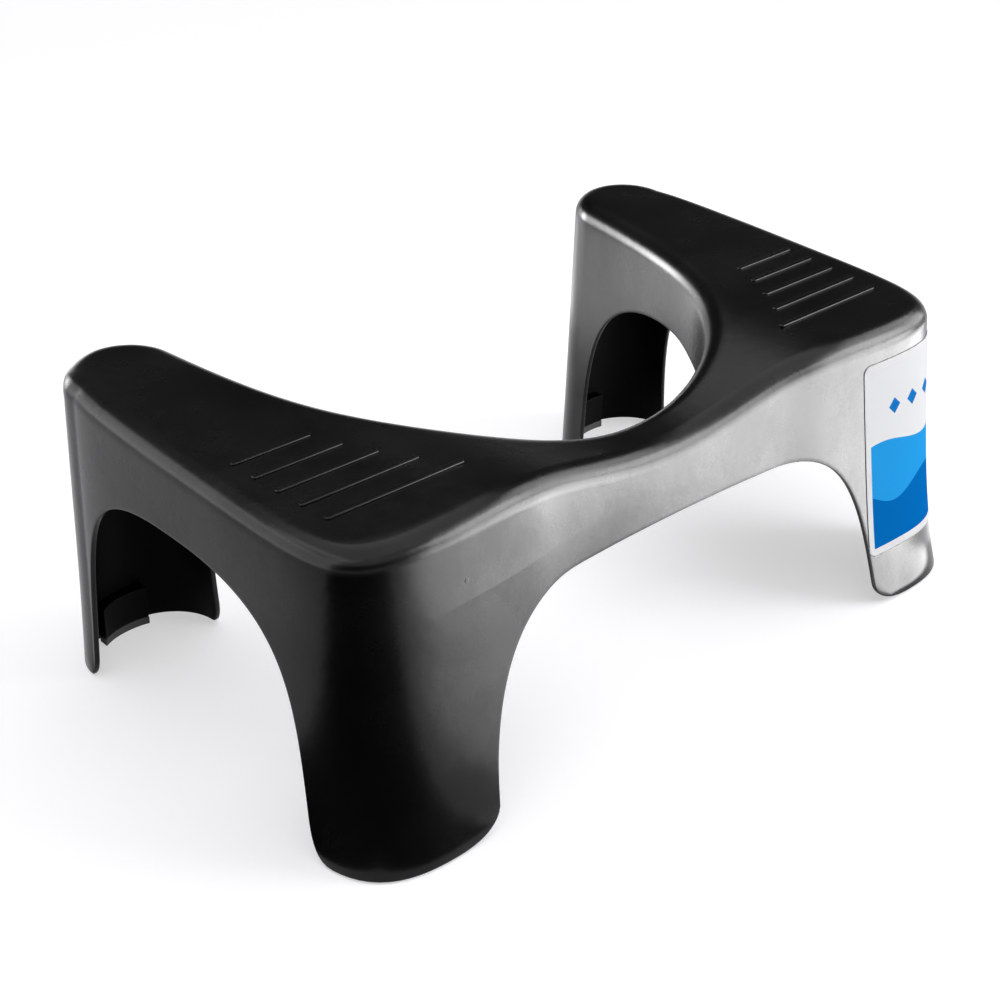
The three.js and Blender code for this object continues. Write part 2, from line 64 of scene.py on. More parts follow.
CAMERA_LENS = 64.26
CAMERA_SENSOR = 36


def add_lamp(name, place, target, width, height, radiance, spread=180, sheen=False):
    """Rectangular soft lamp at a place, turned to a target, of a given radiance: its power is
    the radiance times its area times pi. A spread below 180 degrees stands for a honeycomb
    grid, and a sheen lamp only shows in glossy surfaces."""
    data = bpy.data.lights.new(name, "AREA")
    data.shape = "RECTANGLE"
    data.size = width
    data.size_y = height
    data.energy = radiance * width * height * math.pi
    data.spread = math.radians(spread)
    lamp = bpy.data.objects.new(name, data)
    bpy.context.scene.collection.objects.link(lamp)
    lamp.location = place
    lamp.rotation_euler = (Vector(target) - Vector(place)).to_track_quat("-Z", "Y").to_euler()
    lamp.visible_camera = False
    lamp.visible_diffuse = not sheen


def add_sheen(name, place, target, width, height, radiance, spread=180):
    """Lamp that only shows in glossy surfaces."""
    add_lamp(name, place, target, width, height, radiance, spread, sheen=True)


def add_card(name, x, y, width, depth, radiance):
    """Bright card that lies on the floor and only shows in glossy surfaces."""
    add_sheen(name, (x, y, CARD_HEIGHT), (x, y, 1), width, depth, radiance)


def add_screen(name, x, y, width, height, radiance):
    """Bright screen that stands in front of the stool, faces straight back and only shows in
    glossy surfaces."""
    add_sheen(name, (x, y, SCREEN_HEIGHT), (x, 0, SCREEN_HEIGHT), width, height, radiance)


def flat_sheet(name, corners, height, material):
    """Flat sheet between corners, at a height above the ground."""
    mesh = bpy.data.meshes.new(name)
    mesh.from_pydata([(x, y, height) for x, y in corners], [], [tuple(range(len(corners)))])
    mesh.materials.append(material)
    sheet = bpy.data.objects.new(name, mesh)
    bpy.context.scene.collection.objects.link(sheet)
    return sheet


def new_material(name):
    """Material with an empty node tree, and its nodes and links."""
    material = bpy.data.materials.new(name)
    material.use_nodes = True
    material.node_tree.nodes.clear()
    return material, material.node_tree.nodes, material.node_tree.links


def feed(tree, socket, value):
    """Sets a socket to a value, or links it to the output that is given as its value."""
    if isinstance(value, bpy.types.NodeSocket):
        tree.links.new(value, socket)
    else:
        socket.default_value = value


def reckon(tree, operation, *values):
    """Output of a Math node in a tree."""
    node = tree.nodes.new("ShaderNodeMath")
    node.operation = operation
    for socket, value in zip(node.inputs, values):
        feed(tree, socket, value)
    return node.outputs[0]


def mix_colours(tree, share, first, second):
    """Output of a mix of two colours in a tree, with a share of the second."""
    node = tree.nodes.new("ShaderNodeMix")
    node.data_type = "RGBA"
    for socket, value in ((0, share), (6, first), (7, second)):
        feed(tree, node.inputs[socket], value)
    return node.outputs[2]


def ramp(tree, value, low, high, start, end, form="LINEAR"):
    """Output of a ramp in a tree, from a start to an end while a value goes from low to high."""
    node = tree.nodes.new("ShaderNodeMapRange")
    node.interpolation_type = form
    for socket, number in zip(node.inputs[:5], (value, low, high, start, end)):
        feed(tree, socket, number)
    return node.outputs[0]


# The floor adds light of its own where the camera or a glossy surface sees it, and more of it
# where the lamps don't reach, so that it is white all over
floor_paint, nodes, links = new_material("floor_paint")
paint = nodes.new("ShaderNodeBsdfDiffuse")
paint.inputs["Color"].default_value = FLOOR_COLOUR
tree = floor_paint.node_tree
seen = nodes.new("ShaderNodeLightPath").outputs
direct = reckon(tree, "MAXIMUM", seen["Is Camera Ray"], seen["Is Transmission Ray"])
direct = reckon(tree, "MAXIMUM", direct, seen["Is Glossy Ray"])
away = nodes.new("ShaderNodeVectorMath")
away.operation = "LENGTH"
links.new(nodes.new("ShaderNodeNewGeometry").outputs["Position"], away.inputs[0])
lift = ramp(
    tree, away.outputs["Value"], LAMPLIT_REACH, UNLIT_REACH, FLOOR_LIFT, 1, "SMOOTHSTEP")
glow = nodes.new("ShaderNodeEmission")
both = nodes.new("ShaderNodeAddShader")
output = nodes.new("ShaderNodeOutputMaterial")
links.new(reckon(tree, "MULTIPLY", direct, lift), glow.inputs["Strength"])
links.new(paint.outputs[0], both.inputs[0])
links.new(glow.outputs[0], both.inputs[1])
links.new(both.outputs[0], output.inputs["Surface"])
studio_floor = flat_sheet("studio_floor", FLOOR_CORNERS, 0, floor_paint)

# A black card lies on the floor in front of the left leg and gives it its black band. Only
# glossy surfaces see it.
card_paint, nodes, links = new_material("card_paint")
matt_black = nodes.new("ShaderNodeBsdfDiffuse")
matt_black.inputs["Color"].default_value = BLACK
links.new(matt_black.outputs[0], nodes.new("ShaderNodeOutputMaterial").inputs["Surface"])
dark_card = flat_sheet("dark_card", DARK_CARD_CORNERS, DARK_CARD_HEIGHT, card_paint)
dark_card.visible_camera = False
dark_card.visible_diffuse = False
dark_card.visible_transmission = False
dark_card.visible_shadow = False

# The room is white to the camera, and glossy surfaces see white only low down near the floor
world = bpy.data.worlds.new("dim_room")
world.use_nodes = True
tree = world.node_tree
nodes, links = tree.nodes, tree.links
seen = nodes.new("ShaderNodeLightPath").outputs
upwards = nodes.new("ShaderNodeSeparateXYZ")
links.new(nodes.new("ShaderNodeTexCoord").outputs["Generated"], upwards.inputs[0])
low_wall = ramp(
    tree, upwards.outputs["Z"], ROOM_WHITE_LOW, ROOM_WHITE_HIGH, 1, 0, "SMOOTHSTEP")
mirrored = reckon(tree, "MULTIPLY", seen["Is Glossy Ray"], low_wall)
direct = reckon(tree, "MAXIMUM", seen["Is Camera Ray"], seen["Is Transmission Ray"])
white_share = reckon(tree, "MAXIMUM", direct, mirrored)
room_colour = mix_colours(tree, white_share, ROOM_COLOUR, WHITE)
links.new(room_colour, nodes["Background"].inputs["Color"])
bpy.context.scene.world = world
bpy.context.scene.view_settings.view_transform = "Standard"

add_lamp("overhead_softbox", (0, 0, 2.6), (0, 0, 0), 4, 4, 1.9)
add_lamp("front_softbox", (1.01, -1.15, 0.74), STOOL_MIDDLE, 0.8, 0.6, 9)
add_sheen("front_sheen", (1.02, -1.1, 0.73), STOOL_MIDDLE, 0.8, 0.6, 11)
add_sheen("right_sheen", (1.5, -0.55, 0.6), STOOL_MIDDLE, 0.7, 0.7, 8)
add_sheen("high_sheen", (1.22, -0.62, 1.15), STOOL_MIDDLE, 1.3, 0.4, 7)
add_card("front_card", 0.11, -0.41, 0.26, 0.42, 7.5)
add_card("foot_card", 0.02, -0.24, 0.24, 0.22, 2.2)
add_card("right_card", 0.42, -0.52, 0.37, 0.64, 22)
add_card("far_card", 0.74, -0.51, 0.27, 0.66, 10)
add_card("right_foot_card", 0.205, -0.178, 0.08, 0.06, 13)
add_card("foot_edge_card", 0.275, -0.12, 0.06, 0.12, 1.6)
add_screen("left_screen", 0.325, -0.8, 0.25, 0.3, 13)
add_screen("right_screen", 0.85, -0.8, 0.8, 0.3, 21)
add_sheen("back_screen", (-0.25, 0.98, 0.26), RIGHT_WING_BACK, 0.32, 0.5, 2.6, 44)
add_sheen("gap_screen", (0.06, 1.05, 0.2), (0.1, 0, 0.2), 0.3, 0.4, 4)
add_card("back_card", -0.06, 0.47, 0.18, 0.5, 4)
add_card("gap_card", 0.16, 0.6, 0.26, 0.5, 1.6)
add_sheen("side_screen", (-1.35, 0.55, 0.6), LEFT_WING, 2.2, 1.1, 3.2)
add_sheen("side_high_sheen", (-1.25, 0.2, 1.45), LEFT_WING, 2, 0.8, 2.2)
add_sheen("corner_high_sheen", (-1.2, -1.2, 1.5), (-0.1, -0.1, 0.1), 2.6, 0.9, 1.3)
add_sheen("front_high_sheen", (0.1, -1.45, 1.25), STOOL_MIDDLE, 0.8, 0.9, 1.3)

camera_data = bpy.data.cameras.new("camera")
camera_data.lens = CAMERA_LENS
camera_data.sensor_width = CAMERA_SENSOR
camera = bpy.data.objects.new("camera", camera_data)
bpy.context.scene.collection.objects.link(camera)
camera.matrix_world = (
    Matrix.Translation(CAMERA_PLACE)
    @ Matrix.Rotation(-CAMERA_YAW, 4, "Z")
    @ Matrix.Rotation(math.pi / 2 - CAMERA_PITCH, 4, "X")
    @ Matrix.Rotation(CAMERA_ROLL, 4, "Z"))
bpy.context.scene.camera = camera

# Stool shell: one moulding of glossy black plastic, a horseshoe with a rounded top edge on
# four hollow legs. It is three millimetres thick all over, open below, with walls that flare
# outwards to the floor. Inside it is matt, and its colour there is darker and its reflection
# weaker: painted shade that keeps the hollows black.
TOP_AT_FRONT = 0.1689
TIP_RISE = 0.0109
WAIST_DIP = 0.0185
WAIST_HALF_WIDTH = 0.133
EDGE_RADIUS = 0.0111
WALL = 0.003
FRONT_DEPTH = 0.1125
SHOULDER = np.array([0.1415, -0.1222])
SHOULDER_TURN = math.radians(-4.5)
WIDEST = np.array([0.2261, -0.0045])
TIP_CENTRE = np.array([0.1882, 0.1074])
TIP_RADIUS = 0.033
TIP_TURN = math.radians(172.2)
BEND = np.array([0.1053, -0.0342])
BEND_TURN = math.radians(229)
U_DEPTH = 0.078
TOP_SLOPE = TIP_RISE / (TIP_CENTRE[1] + TIP_RADIUS - SHOULDER[1])
FLARES = {
    "side": (0.00752, 0.00164),
    "inner": (0.0086, 0.0002),
    "front": (0.01748, 0.005),
    "rear": (0.0029, 0.0003),
}
CORNER_KICK = 0.0038
KICK_POWER = 3.95
RIM_HEIGHT = 0.001
RIM_ROUND = 0.0008
FRONT_SHARES = (0.776, 0.454)
SHOULDER_SHARES = (0.61, 0.759)
SIDE_SHARES = (0.989, 0.072)
INNER_SHARES = (0.42, 0.31)
U_SHARES = (0.476, 0.242)
FRONT_CROWN, FRONT_LIMB, FRONT_TOE = (0.06, 0.1109), (0.1497, 0.0155), (0.1772, RIM_HEIGHT)
FORE_CROWN, FORE_LIMB, FORE_TOE = (0.012, 0.1313), (-0.0925, 0.026), (-0.1057, RIM_HEIGHT)
REAR_CROWN, REAR_LIMB, REAR_TOE = (0.02, 0.1313), (0.102, 0.0125), (0.1092, RIM_HEIGHT)
INNER_CROWN, INNER_LIMB, INNER_TOE = (0.018, 0.1318), (0.1024, 0.015), (0.1076, RIM_HEIGHT)
FRONT_ARCH_SHARES = (0.371, 1.082, 0.655, 0.49, 0.115)
FORE_ARCH_SHARES = (0.887, 0.648, 0.28, 0.75, 0.15)
REAR_ARCH_SHARES = (0.96, 0.65, 0.6, 0.5, 0.008)
INNER_ARCH_SHARES = (0.99, 0.565, 0.62, 0.55, 0.008)
SKIRT_HEIGHT = 0.127
SKIRT_HANDLE = -0.0081
OUTLINE_STEPS = 1500
HALF_COLUMNS = 256
FILLET_STEPS, OUTSIDE_STEPS, ROUND_STEPS, INSIDE_STEPS, INNER_FILLET_STEPS = 8, 22, 3, 10, 5
INSIDE_ROW = FILLET_STEPS + OUTSIDE_STEPS + 1 + 2 * ROUND_STEPS
TOP_STEPS, UNDERSIDE_STEPS = 20, 8
MERGE_DISTANCE = 1e-6
CLOUD_NOISE = (16, 6, 0.6)
FLOW_NOISE = (90, 3, 0.55)
RIPPLE_NOISE = (150, 3, 0.45)
SPECK_NOISE = (1100, 2, 0.6)
FLOW_STRETCH = (1, 1, 0.4)
FLOW_SHARE = 0.12
SPECK_IN_RELIEF, SPECK_IN_GLOSS = 0.16, 0.35
RELIEF_DEPTH = 0.0003
GLOSS_LOW, GLOSS_HIGH, GLOSS_MOST = 0.4, 0.6, 0.1
CLOUD_TINT = 0.2
PLASTIC_COLOUR = (0.0032, 0.0032, 0.0034)
# The inside colour is darker than the outside one: painted shade for the hollows.
INSIDE_PAINTED_SHADE_COLOUR = (0.0014, 0.0014, 0.0015)


def top_height(x, y):
    """Height of the top face: a plane that climbs towards the back, less the dip times
    (1 + cos(pi a)) / 2, where a is the distance from the middle as a share of the half width
    of the waist, at most 1."""
    across = np.minimum(np.abs(x) / WAIST_HALF_WIDTH, 1)
    dip = WAIST_DIP * (1 + np.cos(np.pi * across)) / 2
    return TOP_AT_FRONT + TOP_SLOPE * (y - SHOULDER[1]) - dip


def cubic(start, first, second, end):
    """Points and headings of the curve of four control points, weighted by (1-t) cubed,
    3t(1-t) squared, 3t squared (1-t) and t cubed, for t from 0 to 1."""
    t = np.linspace(0, 1, OUTLINE_STEPS + 1)[:, None]
    a, b, c, d = (np.asarray(p, float) for p in (start, first, second, end))
    points = a * (1 - t) ** 3 + 3 * b * t * (1 - t) ** 2 + 3 * c * t ** 2 * (1 - t) + d * t ** 3
    ways = (b - a) * (1 - t) ** 2 + 2 * (c - b) * t * (1 - t) + (d - c) * t ** 2
    return points, ways / np.linalg.norm(ways, axis=1, keepdims=True)


def chord_cubic(start, leave, end, arrive, shares):
    """Cubic that leaves and arrives along two headings, with handles that are shares of the
    chord."""
    chord = np.linalg.norm(end - start)
    return cubic(start, start + leave * chord * shares[0], end - arrive * chord * shares[1], end)


def heading(angle):
    """Unit vector at an angle from the x axis: (cos a, sin a)."""
    return np.array([math.cos(angle), math.sin(angle)])


def tip_arc():
    """Points and headings of the round tip: its centre plus its radius times (cos a, sin a),
    for a from 0 to the tip's turn."""
    angles = np.linspace(0, TIP_TURN, OUTLINE_STEPS + 1)
    outward = np.stack([np.cos(angles), np.sin(angles)], 1)
    return TIP_CENTRE + TIP_RADIUS * outward, np.stack([-outward[:, 1], outward[:, 0]], 1)


tip_start = TIP_CENTRE + np.array([TIP_RADIUS, 0])
tip_end = TIP_CENTRE + TIP_RADIUS * heading(TIP_TURN)
outline_curves = [
    chord_cubic(np.array([0, -FRONT_DEPTH]), heading(0), SHOULDER, heading(SHOULDER_TURN),
                FRONT_SHARES),
    chord_cubic(SHOULDER, heading(SHOULDER_TURN), WIDEST, heading(math.pi / 2),
                SHOULDER_SHARES),
    chord_cubic(WIDEST, heading(math.pi / 2), tip_start, heading(math.pi / 2), SIDE_SHARES),
    tip_arc(),
    chord_cubic(tip_end, heading(TIP_TURN + math.pi / 2), BEND, heading(BEND_TURN),
                INNER_SHARES),
    chord_cubic(BEND, heading(BEND_TURN), np.array([0, -U_DEPTH]), heading(math.pi), U_SHARES),
]
outline_plan = np.concatenate([points[k > 0:] for k, (points, _) in enumerate(outline_curves)])
outline_way = np.concatenate([ways[k > 0:] for k, (_, ways) in enumerate(outline_curves)])
outline_normal = np.stack([outline_way[:, 1], -outline_way[:, 0]], 1)
outline_run = np.concatenate(
    [[0], np.cumsum(np.linalg.norm(np.diff(outline_plan, axis=0), axis=1))])
apex = int(np.argmax(outline_plan[:, 1]))
widest = int(np.argmax(outline_plan[:, 0]))
apex_run = outline_run[apex]


def on_outline(run):
    """Plan place and outward normal of the outline at lengths run from the front centre."""
    plan = np.stack([np.interp(run, outline_run, outline_plan[:, k]) for k in (0, 1)], -1)
    normal = np.stack([np.interp(run, outline_run, outline_normal[:, k]) for k in (0, 1)], -1)
    return plan, normal / np.linalg.norm(normal, axis=-1, keepdims=True)


def stand_out(run, z):
    """How far the wall stands out from the outline at a height: a slope times its fall below
    the rounded edge plus a kick times that fall to a power, each weighted by the squares of
    the normal's parts."""
    plan, normal = on_outline(run)
    wall_top = top_height(plan[..., 0], plan[..., 1]) - EDGE_RADIUS
    fall = np.maximum((wall_top - z) / wall_top, 0)
    inner = run > apex_run
    side_share, end_share = normal[..., 0] ** 2, normal[..., 1] ** 2
    front = normal[..., 1] < 0
    slope, kick = (
        np.where(inner, FLARES["inner"][k], FLARES["side"][k]) * side_share
        + np.where(front, FLARES["front"][k], FLARES["rear"][k]) * end_share
        for k in (0, 1))
    corner = 2 * np.abs(normal[..., 0] * normal[..., 1])
    corner = np.where(~inner & (normal[..., 1] <= 0), corner, 0)
    return slope * fall + (kick + CORNER_KICK * corner) * fall ** KICK_POWER


def wall_point(run, z, inset):
    """Points of the wall at lengths along the outline and heights, set in from its outside:
    the outline's place plus its normal times the stand-out less the inset."""
    run, z = np.broadcast_arrays(np.asarray(run, float), np.asarray(z, float))
    plan, normal = on_outline(run)
    plan = plan + normal * (stand_out(run, z) - inset)[..., None]
    return np.concatenate([plan, z[..., None]], -1)


def arch_side(crown, limb, toe, shares):
    """Places and heights of one side of an arch: a cubic from its level crown into the limb
    and one from the limb out into the rim of the foot."""
    crown_share, limb_share, ankle_share, toe_share, lean = shares
    way = np.sign(toe[0] - crown[0])
    rise = (crown[1] - limb[1]) * limb_share
    ankle = (limb[1] - toe[1]) * ankle_share
    bend, _ = cubic(crown, (crown[0] + (limb[0] - crown[0]) * crown_share, crown[1]),
                    (limb[0] - way * rise * lean, limb[1] + rise), limb)
    foot, _ = cubic(limb, (limb[0] + way * ankle * lean, limb[1] - ankle),
                    (toe[0] - (toe[0] - limb[0]) * toe_share, toe[1]), toe)
    return np.concatenate([bend, foot[1:]])


def as_run(edge, places, runs):
    """The places of an edge as lengths along the outline."""
    order = np.argsort(places)
    return np.stack([np.interp(edge[:, 0], places[order], runs[order]), edge[:, 1]], 1)


front_part = slice(0, widest + 1)
is_side = ((outline_normal[:, 0] > 0) & (outline_plan[:, 1] > SHOULDER[1])
           & (np.arange(len(outline_run)) <= apex))
inner_part = slice(apex, len(outline_run))
front_edge = as_run(
    np.concatenate([
        [(0, FRONT_CROWN[1])], arch_side(FRONT_CROWN, FRONT_LIMB, FRONT_TOE, FRONT_ARCH_SHARES)]),
    outline_plan[front_part, 0], outline_run[front_part])
fore_edge = as_run(
    arch_side(FORE_CROWN, FORE_LIMB, FORE_TOE, FORE_ARCH_SHARES)[::-1],
    outline_plan[is_side, 1], outline_run[is_side])
rear_edge = as_run(
    arch_side(REAR_CROWN, REAR_LIMB, REAR_TOE, REAR_ARCH_SHARES),
    outline_plan[is_side, 1], outline_run[is_side])
skirt, _ = cubic(INNER_CROWN, (SKIRT_HANDLE, INNER_CROWN[1]), (SKIRT_HANDLE, SKIRT_HEIGHT),
                 (BEND[1], SKIRT_HEIGHT))
inner_edge = as_run(
    np.concatenate([
        arch_side(INNER_CROWN, INNER_LIMB, INNER_TOE, INNER_ARCH_SHARES)[::-1], skirt[1:]]),
    outline_plan[inner_part, 1], outline_run[inner_part])
u_end = [(outline_run[-1], SKIRT_HEIGHT)]
lower_edge = np.concatenate([front_edge, fore_edge, rear_edge, inner_edge, u_end])

# Stations along the lower edge: as many from the front centre to the tip as from the tip to
# the bottom of the U, so that both edges of the top face can be paired
edge_length = np.concatenate(
    [[0], np.cumsum(np.linalg.norm(np.diff(lower_edge, axis=0), axis=1))])
apex_length = np.interp(apex_run, lower_edge[:, 0], edge_length)
stations = np.concatenate([
    np.linspace(0, apex_length, HALF_COLUMNS + 1),
    np.linspace(apex_length, edge_length[-1], HALF_COLUMNS + 1)[1:]])
rim_run = np.interp(stations, edge_length, lower_edge[:, 0])
rim_z = np.interp(stations, edge_length, lower_edge[:, 1])
into_run = -np.gradient(rim_z, stations)
into_z = np.gradient(rim_run, stations)
into_run[[0, -1]] = 0
into_length = np.hypot(into_run, into_z)
into_run, into_z = into_run / into_length, into_z / into_length


def shell_columns():
    """Grid of the wall, one column for each station: over the rounded edge as a quarter turn,
    down the outside, round the rim, up the inside and under the edge again."""
    column_run = rim_run + RIM_ROUND * into_run
    column_low = rim_z + RIM_ROUND * into_z
    plan, normal = on_outline(column_run)
    wall_top = top_height(plan[:, 0], plan[:, 1]) - EDGE_RADIUS

    def edge_row(angle, radius):
        """Row at an angle up the rounded edge, on a radius round the edge's centre."""
        place = plan + normal * (radius * math.cos(angle) - EDGE_RADIUS)
        z = top_height(place[:, 0], place[:, 1]) - EDGE_RADIUS + radius * math.sin(angle)
        return np.column_stack([place, z])

    def wall_row(share, inset):
        """Row a share of the way down the wall, set in from its outside."""
        return wall_point(column_run, wall_top + (column_low - wall_top) * share, inset)

    def rim_row(angle, inset):
        """Row at an angle round the rim: its radius times (1 - sin a) above the lowest edge."""
        reach = RIM_ROUND * (1 - math.sin(angle))
        return wall_point(rim_run + reach * into_run, rim_z + reach * into_z, inset)

    quarter = np.linspace(math.pi / 2, 0, FILLET_STEPS + 1)
    rows = [edge_row(angle, EDGE_RADIUS) for angle in quarter[:-1]]
    rows += [wall_row(share, 0) for share in np.linspace(0, 1, OUTSIDE_STEPS + 1)]
    turn = np.linspace(0, math.pi / 2, ROUND_STEPS + 1)[1:]
    rows += [rim_row(angle, RIM_ROUND * (1 - math.cos(angle))) for angle in turn]
    rows += [rim_row(angle, WALL - RIM_ROUND * (1 - math.cos(angle))) for angle in turn[::-1]]
    rows += [wall_row(share, WALL) for share in np.linspace(1, 0, INSIDE_STEPS + 1)]
    quarter = np.linspace(0, math.pi / 2, INNER_FILLET_STEPS + 1)[1:]
    rows += [edge_row(angle, EDGE_RADIUS - WALL) for angle in quarter]
    return np.stack(rows, 1)


def face_grid(depth, steps):
    """Grid of the horseshoe face from tip to tip, a depth below the top: points shared out
    evenly between the paired columns of its outer and inner edge."""
    plan, normal = on_outline(rim_run + RIM_ROUND * into_run)
    edge = plan - normal * EDGE_RADIUS
    outer, inner = edge[:HALF_COLUMNS + 1], edge[HALF_COLUMNS:][::-1]
    share = np.linspace(0, 1, steps + 1)[:, None]
    half = outer[:, None] * (1 - share) + inner[:, None] * share
    grid = np.concatenate([(half * (-1, 1))[:0:-1], half])
    z = top_height(grid[..., 0], grid[..., 1]) - depth
    return np.concatenate([grid, z[..., None]], -1)


def grid_faces(columns, rows, first=0, closed=False):
    """Four-cornered faces between neighbouring points of a grid that is stored column by
    column, joined round to the first column if it is closed."""
    a = np.arange(columns if closed else columns - 1)[:, None] * rows
    b = (a + rows) % (columns * rows) if closed else a + rows
    r = np.arange(rows - 1)
    return first + np.stack([a + r, a + r + 1, b + r + 1, b + r], -1).reshape(-1, 4)


def mesh_piece(name, grids, *materials, print_place=None):
    """Object at the origin made of grids of points, with doubles merged, faces turned outwards
    and smooth shading. Each grid is (points, whether its columns close), and with a second
    material the later half of the grids takes it. A place on the print can be given for each
    point."""
    points, faces, kinds, first = [], [], [], 0
    for order, (grid, closed) in enumerate(grids):
        points.append(grid.reshape(-1, 3))
        faces.append(grid_faces(grid.shape[0], grid.shape[1], first, closed))
        kinds.append(np.full(len(faces[-1]), order * len(materials) // len(grids), np.int32))
        first += grid.shape[0] * grid.shape[1]
    mesh = bpy.data.meshes.new(name)
    mesh.from_pydata(np.concatenate(points).tolist(), [], np.concatenate(faces).tolist())
    for material in materials:
        mesh.materials.append(material)
    mesh.polygons.foreach_set("material_index", np.concatenate(kinds))
    if print_place is not None:
        layer = mesh.attributes.new("print", "FLOAT_VECTOR", "POINT")
        layer.data.foreach_set("vector", print_place.ravel())
    work = bmesh.new()
    work.from_mesh(mesh)
    bmesh.ops.remove_doubles(work, verts=work.verts, dist=MERGE_DISTANCE)
    bmesh.ops.dissolve_degenerate(work, edges=work.edges, dist=MERGE_DISTANCE)
    bmesh.ops.recalc_face_normals(work, faces=work.faces)
    work.to_mesh(mesh)
    work.free()
    mesh.shade_smooth()
    piece = bpy.data.objects.new(name, mesh)
    bpy.context.scene.collection.objects.link(piece)
    return piece


def moulded_finish():
    """Node group for moulded plastic: how rough, cloudy and glossy it is, and its normal. Cloud
    is broad patches with a share of stretched flow marks. Roughness adds the variation times
    the cloud's distance from a half, the normal comes from a fine ripple with a speck on it,
    and gloss grows with the cloud and the speck."""
    group = bpy.data.node_groups.new("moulded_finish", "ShaderNodeTree")
    for name in ("Roughness", "Variation", "Ripple"):
        group.interface.new_socket(name, in_out="INPUT", socket_type="NodeSocketFloat")
    for name, kind in (("Roughness", "NodeSocketFloat"), ("Normal", "NodeSocketVector"),
                       ("Cloud", "NodeSocketFloat"), ("Gloss", "NodeSocketFloat")):
        group.interface.new_socket(name, in_out="OUTPUT", socket_type=kind)
    nodes, links = group.nodes, group.links
    given, result = nodes.new("NodeGroupInput"), nodes.new("NodeGroupOutput")
    place = nodes.new("ShaderNodeTexCoord").outputs["Object"]
    stretched = nodes.new("ShaderNodeMapping")
    stretched.inputs["Scale"].default_value = FLOW_STRETCH
    links.new(place, stretched.inputs["Vector"])

    def noise(vector, scale, detail, roughness):
        """Value of a noise texture from 0 to 1."""
        texture = nodes.new("ShaderNodeTexNoise")
        texture.inputs["Scale"].default_value = scale
        texture.inputs["Detail"].default_value = detail
        texture.inputs["Roughness"].default_value = roughness
        links.new(vector, texture.inputs["Vector"])
        return texture.outputs["Fac"]

    flow = noise(stretched.outputs["Vector"], *FLOW_NOISE)
    patches = reckon(group, "MULTIPLY", noise(place, *CLOUD_NOISE), 1 - FLOW_SHARE)
    cloud = reckon(group, "MULTIPLY_ADD", flow, FLOW_SHARE, patches)
    cloud_off_middle = reckon(group, "SUBTRACT", cloud, 0.5)
    roughness = reckon(group, "MULTIPLY_ADD", cloud_off_middle, given.outputs["Variation"],
                       given.outputs["Roughness"])
    speck = noise(place, *SPECK_NOISE)
    speck_off_middle = reckon(group, "SUBTRACT", speck, 0.5)
    glossy = reckon(group, "MULTIPLY_ADD", speck_off_middle, SPECK_IN_GLOSS, cloud)
    relief = reckon(group, "MULTIPLY_ADD", speck, SPECK_IN_RELIEF, noise(place, *RIPPLE_NOISE))
    bump = nodes.new("ShaderNodeBump")
    bump.inputs["Distance"].default_value = RELIEF_DEPTH
    links.new(given.outputs["Ripple"], bump.inputs["Strength"])
    links.new(relief, bump.inputs["Height"])
    links.new(roughness, result.inputs["Roughness"])
    links.new(bump.outputs["Normal"], result.inputs["Normal"])
    links.new(cloud, result.inputs["Cloud"])
    links.new(ramp(group, glossy, GLOSS_LOW, GLOSS_HIGH, 0, GLOSS_MOST), result.inputs["Gloss"])
    return group


finish_group = moulded_finish()


def add_finish(nodes, roughness, variation, ripple):
    """Node of the moulded finish among the nodes of a material."""
    finish = nodes.new("ShaderNodeGroup")
    finish.node_tree = finish_group
    finish.inputs["Roughness"].default_value = roughness
    finish.inputs["Variation"].default_value = variation
    finish.inputs["Ripple"].default_value = ripple
    return finish


def moulded_material(name, colour, roughness, variation, ripple, specular=0.5, coat=None):
    """Plastic or rubber with the moulded finish, whose clouds make the colour a little darker
    or lighter. A coat is the roughness of a second, glossy layer where the finish is glossy."""
    material, nodes, links = new_material(name)
    shader = nodes.new("ShaderNodeBsdfPrincipled")
    output = nodes.new("ShaderNodeOutputMaterial")
    finish = add_finish(nodes, roughness, variation, ripple)
    dark, light = (
        (*(level * part for part in colour), 1) for level in (1 - CLOUD_TINT, 1 + CLOUD_TINT))
    tint = mix_colours(material.node_tree, finish.outputs["Cloud"], dark, light)
    links.new(tint, shader.inputs["Base Color"])
    links.new(finish.outputs["Roughness"], shader.inputs["Roughness"])
    links.new(finish.outputs["Normal"], shader.inputs["Normal"])
    shader.inputs["Specular IOR Level"].default_value = specular
    if coat is not None:
        shader.inputs["Coat Roughness"].default_value = coat
        links.new(finish.outputs["Gloss"], shader.inputs["Coat Weight"])
    links.new(shader.outputs[0], output.inputs["Surface"])
    return material


black_plastic = moulded_material(
    "black_plastic", PLASTIC_COLOUR, roughness=0.26, variation=0.25, ripple=0.3, specular=0.18,
    coat=0.25)
# Inside plastic: matt, and darker with almost no reflection, which is painted shade in the
# hollows of the shell and on the strip seats.
inside_plastic_painted_shade = moulded_material(
    "inside_plastic_painted_shade", INSIDE_PAINTED_SHADE_COLOUR, roughness=0.5, variation=0.2, ripple=0.4, specular=0.03)
half_ring = shell_columns()
other_half = (half_ring * (-1, 1, 1))[-2:0:-1]
shell_ring = np.concatenate([half_ring, other_half])
stool_shell = mesh_piece(
    "stool_shell",
    [(shell_ring[:, :INSIDE_ROW + 1], True), (face_grid(0, TOP_STEPS), False),
     (shell_ring[:, INSIDE_ROW:], True), (face_grid(WALL, UNDERSIDE_STEPS), False)],
    black_plastic, inside_plastic_painted_shade)
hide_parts("stool_body")
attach(stool_shell, "root")

